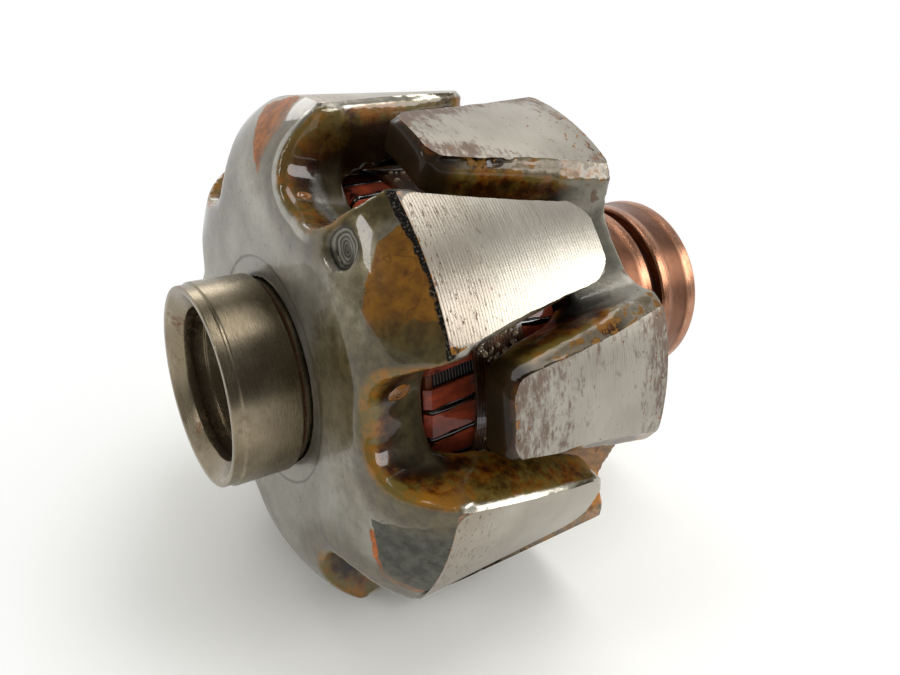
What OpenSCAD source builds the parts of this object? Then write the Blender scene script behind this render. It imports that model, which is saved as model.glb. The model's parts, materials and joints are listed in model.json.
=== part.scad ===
// Claw-pole rotor of a small vehicle alternator, without its shaft.
// The axle lies along +X from the collar's mouth to the slip rings, +Z is up,
// and the origin is on the axle at the collar's end face.

/* [Pole pack] */
// Diameter over the machined claws
rotor_d = 74; // [66:0.5:90]
// Claws on each half
claw_count = 6; // [5:1:8]
// Distance from the collar's end face to the start of the machined claws
shoulder_x = 17.2; // [15:0.1:20]
// Distance from the collar's end face to the far half's back face
back_x = 51.1; // [48:0.1:58]
// Inner face of the near plate
near_plate_x = 20; // [18.6:0.1:22]
// Thickness of the far plate
far_plate_t = 8.6; // [6:0.1:11]
// Turn of the pole pack about the axle as it lies
rest_roll = -11; // [-12:0.5:12]

/* [Near half] */
// Turned seat around the collar, distance from the collar's end face
seat_x = 10.5; // [10.2:0.1:11.4]
// Diameter of the turned seat
seat_d = 33; // [31:0.5:38]
// Height of the forged face above the turned seat
seat_step = 0.3; // [0.1:0.1:0.6]
// Radius where the flat forged face starts to bend into the shoulder
bend_start_r = 25; // [22:0.1:28]
// Axial reach of the near claw tips
near_tip_x = 43.5; // [38:0.1:45]
// Width of a near claw at its root
near_root_w = 20; // [16:0.1:22]
// Width of a near claw at its tip
near_tip_w = 9; // [8:0.1:13]
// Radius of a near claw's nose corners
near_nose_r = 3.2; // [1:0.1:3.6]
// Width of the machined face at a near claw's root
near_root_face_w = 19.2; // [15:0.1:21]
// Width of the machined face at a near claw's tip
near_tip_face_w = 7.2; // [4:0.1:9]
// Thickness of a near claw at its tip
near_tip_t = 4.8; // [3:0.1:6]
// Radius from the axle to the valley rim in the forged face
near_rim_r = 27.4; // [26.6:0.1:29]
// Corner radius of a near valley
near_corner_r = 6; // [4:0.1:7]
// Width of the flat floor of a near valley
near_floor_w = 2.5; // [1:0.1:4]
// Slope of a near valley's floor
near_floor_slope = 12; // [6:1:16]
// Flare of a near valley's front rim
rim_flare = 1.4; // [0.4:0.1:2.4]

/* [Far half] */
// Axial place of the far claw tips
far_tip_x = 24; // [22.5:0.1:28]
// Width of a far claw at the back face
far_root_w = 21; // [16:0.1:22]
// Width of a far claw at its tip
far_tip_w = 11.2; // [8:0.1:13]
// Radius of a far claw's nose corners
far_nose_r = 3; // [1:0.1:3.6]
// Width of the machined face at the back of a far claw
far_root_face_w = 18; // [14:0.1:20]
// Width of the machined face at a far claw's tip
far_tip_face_w = 7; // [4:0.1:10]
// Thickness of a far claw at its tip
far_tip_t = 5; // [3:0.1:6]
// Radius from the axle to the valley rim in the back face
far_rim_r = 31.9; // [30:0.1:34]
// Corner radius of a far valley
far_corner_r = 6; // [3:0.1:8]
// Width of the flat floor of a far valley
far_floor_w = 5; // [2:0.1:9]
// Slope of a far valley's floor
far_floor_slope = 27; // [15:1:32]

/* [Claw finish] */
// Lean of the valley walls
valley_lean = 18; // [5:1:25]
// Inner radius under the claws at their roots
claw_under_r = 27.4; // [27.2:0.1:29]
// Slope of the bevels along a claw's long edges
bevel_slope = 42; // [30:1:60]
// Break of the machined edge at a claw's tip
tip_break = 0.8; // [0.2:0.1:1.5]

/* [Balance drilling] */
// Diameter of the drilled balance spot
spot_d = 4.6; // [3:0.1:7]
// Depth of the drilled balance spot
spot_depth = 1.1; // [0.5:0.1:3]
// Distance of the spot from the axle
spot_r = 30.6; // [28:0.1:32]
// Angle of the spot from its claw's middle
spot_turn = 11; // [-13:0.5:13]
// Diameter of the deep balance hole
drill_d = 7.4; // [5:0.1:8]
// Depth of the deep balance hole behind the flat face
drill_depth = 7.6; // [3:0.1:8]
// Distance of the deep hole from the axle
drill_r = 30.5; // [30:0.1:31.5]
// Angle of the deep hole from its claw's middle
drill_turn = 6.5; // [-7:0.5:7]

/* [Hub] */
// Diameter of the collar
collar_d = 28.3; // [27.6:0.1:31]
// Length of the collar
collar_l = 9.4; // [8:0.1:10]
// Length of the reduced ring at the collar's mouth
lip_l = 1.3; // [0.6:0.1:2]
// Step down to the reduced ring at the mouth
lip_step = 0.3; // [0.1:0.05:0.6]
// Diameter of the hub inside the pole pack
hub_d = 26.4; // [25:0.1:27]
// Diameter of the hub inside the slip ring carrier
tail_d = 24; // [21:0.1:24.8]
// Diameter of the collar's bore
bore_d = 21.4; // [19:0.1:22]
// Diameter of the lead-in at the bore's mouth
lead_d = 26.1; // [24:0.1:26.4]
// Depth of the lead-in
lead_l = 1.8; // [0.8:0.1:2.5]
// Start of the relief ring in the bore
relief_x = 3; // [2.6:0.1:5]
// Width of the relief ring
relief_l = 2; // [1:0.1:4]
// Depth of the relief ring
relief_t = 0.5; // [0.2:0.1:0.8]
// Depth of the collar's bore
bore_l = 30; // [15:0.5:40]
// Diameter of the shaft bore
shaft_d = 16; // [12:0.1:18]

/* [Field coil] */
// Diameter of the iron core between the plates
core_d = 36; // [32:0.1:40]
// Wall of the bobbin's barrel
barrel_t = 1; // [0.6:0.1:2]
// Thickness of a bobbin cheek
cheek_t = 1; // [0.6:0.1:2]
// Step from the winding down to the bobbin's cheeks
cheek_step = 0.3; // [0.1:0.1:2]
// Radial gap between the binding band and the claws
band_gap = 0.7; // [0.3:0.05:2]
// Thickness of the insulating wrap
wrap_t = 0.5; // [0.3:0.05:0.6]
// Flaps in the wrap around each end of the coil
flap_count = 42; // [24:6:60]
// Width of a slit between flaps
slit_w = 0.7; // [0.3:0.05:1.2]
// Width of the one slit that gapes
wide_slit_w = 1.9; // [0.8:0.1:2.4]
// Angle of the wide slit from the middle of a far claw
slit_turn = 6.8; // [-20:0.1:20]
// Skew of the slits
slit_skew = 4; // [0:1:15]
// Width of the binding band
band_w = 8.2; // [4:0.1:12]
// Thickness of the binding band
band_t = 0.55; // [0.3:0.05:0.6]

/* [Slip rings] */
// Diameter of the slip rings
ring_d = 32.6; // [30:0.1:34]
// Width of a slip ring
ring_w = 8.9; // [6:0.1:11]
// Gap between the slip rings
ring_gap = 2.3; // [1.5:0.1:4]
// Radial thickness of a slip ring
ring_t = 2.7; // [1.8:0.1:3.2]
// Depth of the brush track worn in a slip ring
track_depth = 0.2; // [0.05:0.05:0.5]
// Length of the carrier's neck behind the far half
neck_l = 12; // [6:0.1:16]
// Thickness of the carrier's shoulder against the first ring
carrier_lip_t = 1.2; // [0.6:0.1:2.5]
// Diameter of the carrier's neck
neck_d = 29; // [27.6:0.1:31]

/* [Fits] */
// Radial gap between pressed parts
press_gap = 0.03; // [0.02:0.01:0.1]

/* [Hidden] */
$fn = 96;
eps = 0.01;
far_reach = 60;
rotor_r = rotor_d / 2;
pitch = 360 / claw_count;
far_plate_x = back_x - far_plate_t;
seat_r = seat_d / 2;
collar_r = collar_d / 2;
hub_r = hub_d / 2;
tail_r = tail_d / 2;
bore_r = bore_d / 2;
core_r = core_d / 2;
barrel_r = core_r + press_gap + barrel_t;
wrap_r = claw_under_r - band_gap - band_t - press_gap;
wrap_in_r = wrap_r - wrap_t;
winding_r = wrap_in_r - press_gap;
cheek_r = winding_r - cheek_step;
wrap_bend_r = 2 * wrap_t;
near_cheek_x = near_plate_x + wrap_t;
far_cheek_x = far_plate_x - wrap_t;
coil_middle_x = (near_plate_x + far_plate_x) / 2;
flap_pitch = 360 / flap_count;
ring_r = ring_d / 2;
ring_seat_r = ring_r - ring_t;
first_ring_x = back_x + neck_l + carrier_lip_t;
second_ring_x = first_ring_x + ring_w + ring_gap;
tail_x = second_ring_x + ring_w;
ring_edge = 0.5;
edge_break = 0.4;
face_x = seat_x - seat_step;
bend_rise = shoulder_x - face_x;
bend_reach = rotor_r - bend_start_r;
bend_r = (pow(bend_rise, 2) + pow(bend_reach, 2)) / (2 * bend_rise);

// Points of an arc in a radius and axle-distance profile
function arc(centre, r, from, to, steps = 8) =
    [for (i = [0 : steps]) let (a = from + (to - from) * i / steps)
        [centre[0] + r * cos(a), centre[1] + r * sin(a)]];

// Place along the axle of the bent shoulder at a radius
function shoulder_face(r) = face_x + bend_r - sqrt(pow(bend_r, 2) - pow(r - bend_start_r, 2));

// Half the claw angle that a machined width covers at the rim
function half_angle(width) = asin(width / 2 / rotor_r);

// Lays a shape modelled along +Z on the axle
module on_axle() {
    rotate([rest_roll, 0, 0]) rotate([0, 90, 0]) children();
}

// Turns a shape from the local radial direction to an angle up from the -Y side
module at_angle(angle) {
    rotate([0, 0, -90 - angle]) children();
}

// Repeats a shape once for each claw of a half
module each_claw(first_angle) {
    for (i = [0 : claw_count - 1]) at_angle(first_angle + i * pitch) children();
}

// Wedge of one claw with its round nose, seen along its radius
module claw_outline(root_x, root_w, tip_x, tip_w, nose_r) {
    way = tip_x > root_x ? 1 : -1;
    lean = atan((root_w - tip_w) / 2 / abs(tip_x - root_x));
    nose_x = tip_x - way * nose_r;
    nose_y = tip_w / 2 + nose_r * tan(lean) - nose_r / cos(lean);
    nose = arc([0, nose_y], nose_r, 90 - lean, 0, 5);
    edge = concat([[root_x, root_w / 2]], [for (p = nose) [nose_x + way * p[0], p[1]]]);
    under = [for (i = [len(edge) - 1 : -1 : 0]) [edge[i][0], -edge[i][1]]];
    rotate([0, 90, 0]) mirror([1, 0, 0]) linear_extrude(far_reach) polygon(concat(edge, under));
}

// Ring that the claws of one half are cut from
module claw_ring(root_x, tip_x, tip_t) {
    lean = tip_x > root_x ? 1 : -1;
    rotate_extrude() polygon([[claw_under_r, root_x], [rotor_r, root_x], [rotor_r, tip_x - lean * tip_break],
                              [rotor_r - tip_break, tip_x], [rotor_r - tip_t, tip_x]]);
}

// Cutter that bevels one long edge of a claw, between two places along the axle
module edge_bevel(low_x, low_face_w, high_x, high_face_w) {
    low_a = half_angle(low_face_w);
    high_a = half_angle(high_face_w);
    start = [rotor_r * cos(low_a), rotor_r * sin(low_a), low_x];
    run = [rotor_r * cos(high_a), rotor_r * sin(high_a), high_x] - start;
    length = norm(run);
    heading = atan2(run[1], run[0]);
    translate(start) rotate([0, acos(run[2] / length), heading]) rotate([0, 0, bevel_slope - heading])
        translate([0, -eps, -length / 4]) cube([rotor_r / 3, rotor_r / 3, length * 1.5]);
}

// Both long edges of a claw
module claw_bevels(low_x, low_face_w, high_x, high_face_w) {
    edge_bevel(low_x, low_face_w, high_x, high_face_w);
    mirror([0, 1, 0]) edge_bevel(low_x, low_face_w, high_x, high_face_w);
}

// Section of a valley: round corners, a floor between them and leaning walls
module valley_section(corner_r, floor_w, lean, height) {
    wall_x = corner_r * (1 - sin(lean));
    wall_y = floor_w / 2 + corner_r * cos(lean);
    top_y = wall_y + (height - wall_x) * tan(lean);
    for (side = [-1, 1]) translate([corner_r, side * floor_w / 2]) circle(corner_r);
    polygon([[wall_x, -wall_y], [height, -top_y], [height, top_y], [wall_x, wall_y]]);
    if (floor_w > 0) translate([0, -floor_w / 2]) square([corner_r, floor_w]);
}

// Scooped valley between two near claws, with its flared front rim
module near_valley() {
    length = (far_tip_x - face_x) / cos(near_floor_slope);
    height = (rotor_r - near_rim_r) / cos(near_floor_slope) + length / 2;
    translate([near_rim_r, 0, face_x]) rotate([0, -near_floor_slope, 0])
        translate([0, 0, -length / 2]) linear_extrude(1.5 * length)
            valley_section(near_corner_r, near_floor_w, valley_lean, height);
    translate([near_rim_r + near_corner_r, 0, face_x - eps])
        cylinder(h = 2 * rim_flare, r1 = near_corner_r + rim_flare, r2 = near_corner_r - rim_flare);
}

// Sloping valley between two far claws
module far_valley() {
    height = (rotor_r - far_rim_r) / cos(far_floor_slope) + far_plate_t;
    length = (back_x - far_tip_x) / cos(far_floor_slope);
    translate([far_rim_r, 0, back_x]) rotate([0, far_floor_slope, 0])
        translate([0, 0, -length]) linear_extrude(length + far_plate_t)
            valley_section(far_corner_r, far_floor_w, valley_lean, height);
}

// Forged near plate whose flat face bends into a shoulder with a crisp turned edge
module near_plate() {
    rotate_extrude() polygon(concat(
        [[0, seat_x], [seat_r, seat_x], [seat_r, face_x]],
        arc([bend_start_r, face_x + bend_r], bend_r, 270, 270 + asin(bend_reach / bend_r), 10),
        [[rotor_r, near_plate_x], [0, near_plate_x]]));
}

module near_pole_half() {
    color("dimgray") on_axle() difference() {
        union() {
            near_plate();
            intersection() {
                claw_ring(near_plate_x - eps, near_tip_x, near_tip_t);
                each_claw(pitch / 2)
                    claw_outline(shoulder_x, near_root_w, near_tip_x, near_tip_w, near_nose_r);
            }
        }
        each_claw(0) near_valley();
        each_claw(pitch / 2) claw_bevels(shoulder_x, near_root_face_w, near_tip_x, near_tip_face_w);
        at_angle(pitch / 2 + spot_turn) balance_drilling(spot_r, spot_d, shoulder_face(spot_r) + spot_depth);
        at_angle(2.5 * pitch + drill_turn) balance_drilling(drill_r, drill_d, face_x + drill_depth);
        cylinder(h = far_reach, r = hub_r + press_gap);
    }
}

// Balance drilling in the near plate's face, down to a place along the axle
module balance_drilling(place_r, drilling_d, floor_x) {
    translate([place_r, 0, 0]) cylinder(h = floor_x, d = drilling_d);
}

module far_pole_half() {
    color("gray") on_axle() difference() {
        union() {
            translate([0, 0, far_plate_x]) cylinder(h = far_plate_t, r = rotor_r);
            intersection() {
                claw_ring(far_plate_x + eps, far_tip_x, far_tip_t);
                each_claw(0) claw_outline(back_x, far_root_w, far_tip_x, far_tip_w, far_nose_r);
            }
        }
        each_claw(pitch / 2) far_valley();
        each_claw(0) claw_bevels(far_tip_x, far_tip_face_w, back_x, far_root_face_w);
        cylinder(h = 2 * far_reach, r = hub_r + press_gap);
    }
}

module hub_sleeve() {
    color("darkgray") on_axle() difference() {
        rotate_extrude() polygon([
            [0, 0], [collar_r - lip_step, 0], [collar_r - lip_step, lip_l], [collar_r, lip_l + lip_step],
            [collar_r, collar_l - edge_break], [collar_r - edge_break, collar_l], [hub_r, collar_l],
            [hub_r, back_x], [tail_r, back_x], [tail_r, tail_x], [0, tail_x]]);
        translate([0, 0, -eps]) cylinder(h = lead_l + eps, d1 = lead_d, d2 = bore_d);
        cylinder(h = bore_l, r = bore_r);
        translate([0, 0, relief_x]) cylinder(h = relief_l, r = bore_r + relief_t);
        cylinder(h = 2 * far_reach, d = shaft_d);
    }
}

module pole_core() {
    color("slategray") on_axle() translate([0, 0, near_plate_x]) difference() {
        cylinder(h = far_plate_x - near_plate_x, r = core_r);
        translate([0, 0, -eps]) cylinder(h = far_reach, r = hub_r + press_gap);
    }
}

module coil_bobbin() {
    color("saddlebrown") on_axle() rotate_extrude() polygon([
        [core_r + press_gap, near_cheek_x], [cheek_r, near_cheek_x],
        [cheek_r, near_cheek_x + cheek_t], [barrel_r, near_cheek_x + cheek_t],
        [barrel_r, far_cheek_x - cheek_t], [cheek_r, far_cheek_x - cheek_t],
        [cheek_r, far_cheek_x], [core_r + press_gap, far_cheek_x]]);
}

module field_winding() {
    color("maroon") on_axle() rotate_extrude()
        translate([barrel_r + press_gap, near_cheek_x + cheek_t])
            square([winding_r - barrel_r - press_gap, far_cheek_x - near_cheek_x - 2 * cheek_t]);
}

// Slit insulating wrap folded over one end of the winding
module wrap_flaps() {
    length = coil_middle_x - near_plate_x - eps;
    difference() {
        rotate_extrude() polygon(concat(
            [[core_r + press_gap, 0]],
            arc([wrap_r - wrap_bend_r, wrap_bend_r], wrap_bend_r, 270, 360, 4),
            [[wrap_r, length], [wrap_in_r, length], [wrap_in_r, wrap_t], [core_r + press_gap, wrap_t]]));
        for (i = [0 : flap_count - 1]) at_angle(slit_turn + i * flap_pitch) {
            width = i == 0 ? wide_slit_w : slit_w;
            translate([wrap_in_r - wrap_t, 0, wrap_t]) rotate([slit_skew, 0, 0])
                translate([0, -width / 2, 0]) cube([3 * wrap_t, width, 2 * length]);
        }
    }
}

module near_wrap_flaps() {
    color("chocolate") on_axle() translate([0, 0, near_plate_x]) wrap_flaps();
}

module far_wrap_flaps() {
    color("chocolate") on_axle() translate([0, 0, far_plate_x]) mirror([0, 0, 1]) wrap_flaps();
}

module binding_band() {
    color("black") on_axle() rotate_extrude()
        translate([wrap_r + press_gap, coil_middle_x - band_w / 2]) square([band_t, band_w]);
}

module slip_ring_carrier() {
    separator_r = ring_seat_r + ring_t / 3;
    color("saddlebrown") on_axle() rotate_extrude() polygon([
        [tail_r + press_gap, back_x], [neck_d / 2, back_x], [neck_d / 2, back_x + neck_l],
        [ring_r - ring_edge, back_x + neck_l], [ring_r - ring_edge, first_ring_x], [ring_seat_r, first_ring_x],
        [ring_seat_r, first_ring_x + ring_w], [separator_r, first_ring_x + ring_w],
        [separator_r, second_ring_x], [ring_seat_r, second_ring_x], [ring_seat_r, tail_x],
        [tail_r + press_gap, tail_x]]);
}

// Slip ring with round edges and a worn brush track
module slip_ring() {
    track = ring_w / 6;
    inner_r = ring_seat_r + press_gap;
    rotate_extrude() polygon(concat(
        [[inner_r, 0]],
        arc([ring_r - ring_edge, ring_edge], ring_edge, 270, 360, 4),
        [[ring_r, track], [ring_r - track_depth, 2 * track],
         [ring_r - track_depth, ring_w - 2 * track], [ring_r, ring_w - track]],
        arc([ring_r - ring_edge, ring_w - ring_edge], ring_edge, 0, 90, 4),
        [[inner_r, ring_w]]));
}

module inner_slip_ring() {
    color("peru") on_axle() translate([0, 0, first_ring_x]) slip_ring();
}

module outer_slip_ring() {
    color("peru") on_axle() translate([0, 0, second_ring_x]) slip_ring();
}

hub_sleeve();
near_pole_half();
far_pole_half();
pole_core();
coil_bobbin();
field_winding();
near_wrap_flaps();
far_wrap_flaps();
binding_band();
slip_ring_carrier();
inner_slip_ring();
outer_slip_ring();
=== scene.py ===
"""Looks of a claw-pole alternator rotor: soft forgings, a bound coil, old varnish and turned metal."""

import json
import logging
import math
import random
from collections.abc import Callable
from dataclasses import dataclass, field
from enum import Enum
from typing import Any

import bpy
import numpy as np
from mathutils import Matrix, Vector

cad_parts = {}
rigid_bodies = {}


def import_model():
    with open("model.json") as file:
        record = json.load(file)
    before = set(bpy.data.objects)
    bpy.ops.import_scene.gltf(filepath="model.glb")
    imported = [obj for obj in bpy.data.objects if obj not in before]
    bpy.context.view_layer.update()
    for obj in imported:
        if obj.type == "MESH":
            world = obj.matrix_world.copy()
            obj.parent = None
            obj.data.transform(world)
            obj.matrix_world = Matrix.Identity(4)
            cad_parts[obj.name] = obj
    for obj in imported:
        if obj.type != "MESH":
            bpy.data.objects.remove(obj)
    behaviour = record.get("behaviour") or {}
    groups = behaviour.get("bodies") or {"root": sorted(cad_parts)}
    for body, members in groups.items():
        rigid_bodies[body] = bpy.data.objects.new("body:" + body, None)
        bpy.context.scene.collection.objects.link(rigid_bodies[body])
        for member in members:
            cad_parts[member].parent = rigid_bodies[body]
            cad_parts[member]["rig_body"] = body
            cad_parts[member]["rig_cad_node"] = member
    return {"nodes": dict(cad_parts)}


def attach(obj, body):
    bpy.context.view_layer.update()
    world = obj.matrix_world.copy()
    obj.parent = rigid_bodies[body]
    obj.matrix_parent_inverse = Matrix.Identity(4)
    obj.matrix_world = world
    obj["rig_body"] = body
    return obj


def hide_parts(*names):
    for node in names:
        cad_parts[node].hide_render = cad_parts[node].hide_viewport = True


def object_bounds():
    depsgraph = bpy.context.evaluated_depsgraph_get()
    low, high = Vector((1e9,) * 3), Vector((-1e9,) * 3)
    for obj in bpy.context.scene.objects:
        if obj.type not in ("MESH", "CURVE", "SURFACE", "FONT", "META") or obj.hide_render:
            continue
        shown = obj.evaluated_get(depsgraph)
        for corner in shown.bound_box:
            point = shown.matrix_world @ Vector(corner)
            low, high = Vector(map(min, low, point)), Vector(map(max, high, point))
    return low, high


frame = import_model()
CAD_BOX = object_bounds()
log = logging.getLogger("rotor")

MM = 0.001
BODY = "root"
REST_ROLL = -11.0
ROTOR_R = 37.0
CLAW_PITCH = 60.0
NEAR_CLAW = 30.0
FAR_CLAW = 0.0
SHOULDER_ARC = 0.58
ALONG_AXLE = (0.0, math.pi / 2, 0.0)
MERGE_GAP = 0.004

Colour = tuple[float, float, float, float]
Piece = bpy.types.Object
Socket = bpy.types.NodeSocket
Material = bpy.types.Material


def rotor_point(x: float, r: float, angle: float) -> Vector:
    """Finds a place on the rotor as it lies.

    Args:
        x: distance along the axle from the collar's face, in millimetres.
        r: distance from the axle, in millimetres.
        angle: degrees up from the side that faces the camera.

    Returns:
        The place in metres.
    """
    turn = math.radians(angle - REST_ROLL)
    return Vector((x, -r * math.cos(turn), r * math.sin(turn))) * MM


def lay_down(vector: Vector) -> Vector:
    """Turns a direction or place from the rotor's own frame to the frame in which it lies."""
    return Matrix.Rotation(math.radians(REST_ROLL), 3, "X") @ vector


def tone(red: int, green: int, blue: int) -> Colour:
    """Turns a screen colour into the linear colour that shaders take.

    Args:
        red: the colour's red, from 0 to 255.
        green: its green.
        blue: its blue.

    Returns:
        The linear colour, opaque.
    """
    shares = [part / 255 for part in (red, green, blue)]
    linear = [s / 12.92 if s <= 0.04 else ((s + 0.055) / 1.055) ** 2.4 for s in shares]
    return (linear[0], linear[1], linear[2], 1.0)


def operator(operation: str, reflected: bool = False) -> Callable[["Value", "Value | float"], "Value"]:
    """Makes the method of one operator on values.

    Args:
        operation: the Math node's operation.
        reflected: whether the value stands on the operator's right.

    Returns:
        The method.
    """
    def method(self: "Value", other: "Value | float") -> "Value":
        """Adds the operator's Math node."""
        terms = (other, self) if reflected else (self, other)
        return self.shader.math(operation, *terms)

    return method


class Value:
    """A number socket that takes part in Python arithmetic."""

    __add__ = operator("ADD")
    __radd__ = operator("ADD", reflected=True)
    __sub__ = operator("SUBTRACT")
    __rsub__ = operator("SUBTRACT", reflected=True)
    __mul__ = operator("MULTIPLY")
    __rmul__ = operator("MULTIPLY", reflected=True)
    __truediv__ = operator("DIVIDE")
    __pow__ = operator("POWER")
    most = operator("MAXIMUM")
    least = operator("MINIMUM")

    def __init__(self, shader: "Nodes", socket: Socket) -> None:
        """Keeps the socket and the nodes that it belongs to."""
        self.shader = shader
        self.socket = socket

    def __abs__(self) -> "Value":
        """Drops the sign."""
        return self.shader.math("ABSOLUTE", self)

    def fade(self, low: float, high: float) -> "Value":
        """Eases from 0 at one value to 1 at another, either way round."""
        made = self.shader.node("ShaderNodeMapRange", {"interpolation_type": "SMOOTHSTEP"},
                                {"Value": self, "From Min": low, "From Max": high})
        return Value(self.shader, made.outputs["Result"])

    def swing(self, width: float) -> "Value":
        """Turns noise from 0 to 1 into noise of that width around 0."""
        return (self - 0.5) * width

    def wave(self, length: float) -> "Value":
        """Gives a sine over the value with that wave length, from -1 to 1."""
        return self.shader.math("SINE", self * (2 * math.pi / length))


class Nodes:
    """Adds nodes to one tree, for a material or for the world."""

    def __init__(self, tree: bpy.types.NodeTree) -> None:
        """Starts with an empty tree."""
        self.tree = tree
        self.tree.nodes.clear()

    def node(self, kind: str, settings: dict[str, Any] | None = None,
             sockets: dict[str | int, Any] | None = None) -> bpy.types.Node:
        """Adds one node.

        Args:
            kind: the node's type.
            settings: its properties, set first; "stops" holds a ramp's places and colours.
            sockets: values or links for its inputs, by name or number.

        Returns:
            The node.
        """
        made = self.tree.nodes.new(kind)
        for key, value in (settings or {}).items():
            if key == "stops":
                for stop in value[len(made.color_ramp.elements):]:
                    made.color_ramp.elements.new(stop[0])
                for element, stop in zip(made.color_ramp.elements, value):
                    element.position, element.color = stop
            else:
                setattr(made, key, value)
        for key, value in (sockets or {}).items():
            source = value.socket if isinstance(value, Value) else value
            if isinstance(source, Socket):
                self.tree.links.new(source, made.inputs[key])
            else:
                made.inputs[key].default_value = source
        return made

    def math(self, operation: str, *terms: "Value | float") -> Value:
        """Adds one Math node for an operation on values."""
        made = self.node("ShaderNodeMath", {"operation": operation}, dict(enumerate(terms)))
        return Value(self, made.outputs[0])

    def seen_rays(self) -> Value:
        """Gives 1 for rays that show what lies behind: straight, mirrored or through glass."""
        rays = [Value(self, self.ray(name)) for name in ("Camera", "Glossy", "Transmission")]
        return rays[0].most(rays[1]).most(rays[2])

    def ray(self, name: str) -> Socket:
        """Gives the socket that tells one kind of ray."""
        return self.node("ShaderNodeLightPath").outputs[f"Is {name} Ray"]


class Shader(Nodes):
    """Builds one material, with the shaded place in the rotor's own measures."""

    def __init__(self, name: str) -> None:
        """Starts an empty material and works out the measures that most finishes read.

        Args:
            name: the material's name.
        """
        self.material = bpy.data.materials.new(name)
        self.material.use_nodes = True
        super().__init__(self.material.node_tree)
        self.place = self.node("ShaderNodeTexCoord").outputs["Object"]
        parts = self.node("ShaderNodeSeparateXYZ", sockets={0: self.place}).outputs
        side = Value(self, parts["Y"]) / MM
        height = Value(self, parts["Z"]) / MM
        self.x = Value(self, parts["X"]) / MM
        self.r = (side * side + height * height) ** 0.5
        self.angle = self.math("ARCTAN2", height, side * -1) * (180 / math.pi) + REST_ROLL

    def from_claw(self, middle: float) -> Value:
        """Gives the signed angle from the nearest of a ring of claws, in degrees."""
        return self.math("WRAP", self.angle - middle, CLAW_PITCH / 2, -CLAW_PITCH / 2)

    def stretched(self, along: float, across: float = 1.0) -> Socket:
        """Gives the place scaled along the axle and across it, for streaks."""
        sockets = {0: self.place, 1: (along, across, across)}
        return self.node("ShaderNodeVectorMath", {"operation": "MULTIPLY"}, sockets).outputs[0]

    def noise(self, size: float, detail: float = 3.0, rough: float = 0.55,
              at: Socket | None = None) -> Value:
        """Adds noise whose blots measure about size millimetres, from 0 to 1 around 0.5."""
        sockets = {"Vector": at or self.place, "Scale": 1 / (size * MM), "Detail": detail,
                   "Roughness": rough}
        return Value(self, self.node("ShaderNodeTexNoise", {}, sockets).outputs[0])

    def near(self, spot: Vector) -> Value:
        """Gives the distance from a place, in millimetres."""
        made = self.node("ShaderNodeVectorMath", {"operation": "DISTANCE"}, {0: self.place, 1: spot})
        return Value(self, made.outputs["Value"]) / MM

    def attribute(self, name: str) -> Value:
        """Reads a number that the mesh carries."""
        return Value(self, self.node("ShaderNodeAttribute", {"attribute_name": name}).outputs["Fac"])

    def ramp(self, value: Value, *stops: tuple[float, Colour]) -> Socket:
        """Turns a value into a colour."""
        return self.node("ShaderNodeValToRGB", {"stops": stops}, {0: value}).outputs["Color"]

    def mix(self, share: Value, low: Any, high: Any) -> Socket:
        """Mixes two colours."""
        return self.node("ShaderNodeMix", {"data_type": "RGBA"}, {0: share, 6: low, 7: high}).outputs[2]

    def bump(self, height: Value, depth: float) -> Socket:
        """Turns a height from 0 to 1 into a normal, with the depth in millimetres."""
        sockets = {"Strength": 1.0, "Distance": depth * MM, "Height": height}
        return self.node("ShaderNodeBump", {}, sockets).outputs["Normal"]

    def surface(self, sockets: dict[str, Any]) -> Material:
        """Closes the material with one shader.

        Args:
            sockets: values or links for the shader's inputs, by name.

        Returns:
            The material.
        """
        skin = self.node("ShaderNodeBsdfPrincipled", {}, sockets)
        self.node("ShaderNodeOutputMaterial", {}, {"Surface": skin.outputs["BSDF"]})
        return self.material


@dataclass(frozen=True)
class Stain:
    """A soft blot around a place on the rotor, in two shades."""

    x: float
    r: float
    angle: float
    size: float
    light: Colour
    deep: Colour
    cover: float = 0.8
    metal: float = 0.5
    rough: float = 0.32
    gloss: float = 0.6
    edge: float = 3.0
    ragged: float = 8.0

    def mask(self, shader: Shader, wobble: Value) -> Value:
        """Gives the blot's share of the surface."""
        distance = shader.near(rotor_point(self.x, self.r, self.angle)) + wobble.swing(self.ragged)
        return distance.fade(self.size + self.edge, self.size - self.edge) * self.cover


@dataclass(frozen=True)
class Patch:
    """A torn patch on the bent shoulder, by the radius and angle of its corners, anticlockwise."""

    corners: tuple[tuple[float, float], ...]
    light: Colour
    deep: Colour
    cover: float = 1.0
    metal: float = 0.1
    rough: float = 0.3
    gloss: float = 1.0
    edge: float = 0.12
    ragged: float = 2.2
    depth: float = 9.0
    spread: float = 0.3
    ends_x: tuple[float, float] = (18.5, 19.5)

    def mask(self, shader: Shader, wobble: Value) -> Value:
        """Gives the patch's share of the surface, with ragged edges.

        Args:
            shader: the material's nodes.
            wobble: the noise that tears the edges.

        Returns:
            The share, which is the patch's cover inside and 0 outside.
        """
        s = shader
        inside = s.x.fade(self.ends_x[1], self.ends_x[0]) * self.depth
        for (r, angle), after in zip(self.corners, self.corners[1:] + self.corners[:1]):
            out = after[0] - r
            around = (after[1] - angle) * SHOULDER_ARC
            length = math.hypot(out, around)
            beside = (s.angle - angle) * (SHOULDER_ARC * out / length) - (s.r - r) * (around / length)
            inside = inside.least(beside)
        torn = inside + self.spread + wobble.swing(self.ragged)
        return torn.fade(-self.edge, self.edge) * self.cover


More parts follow.
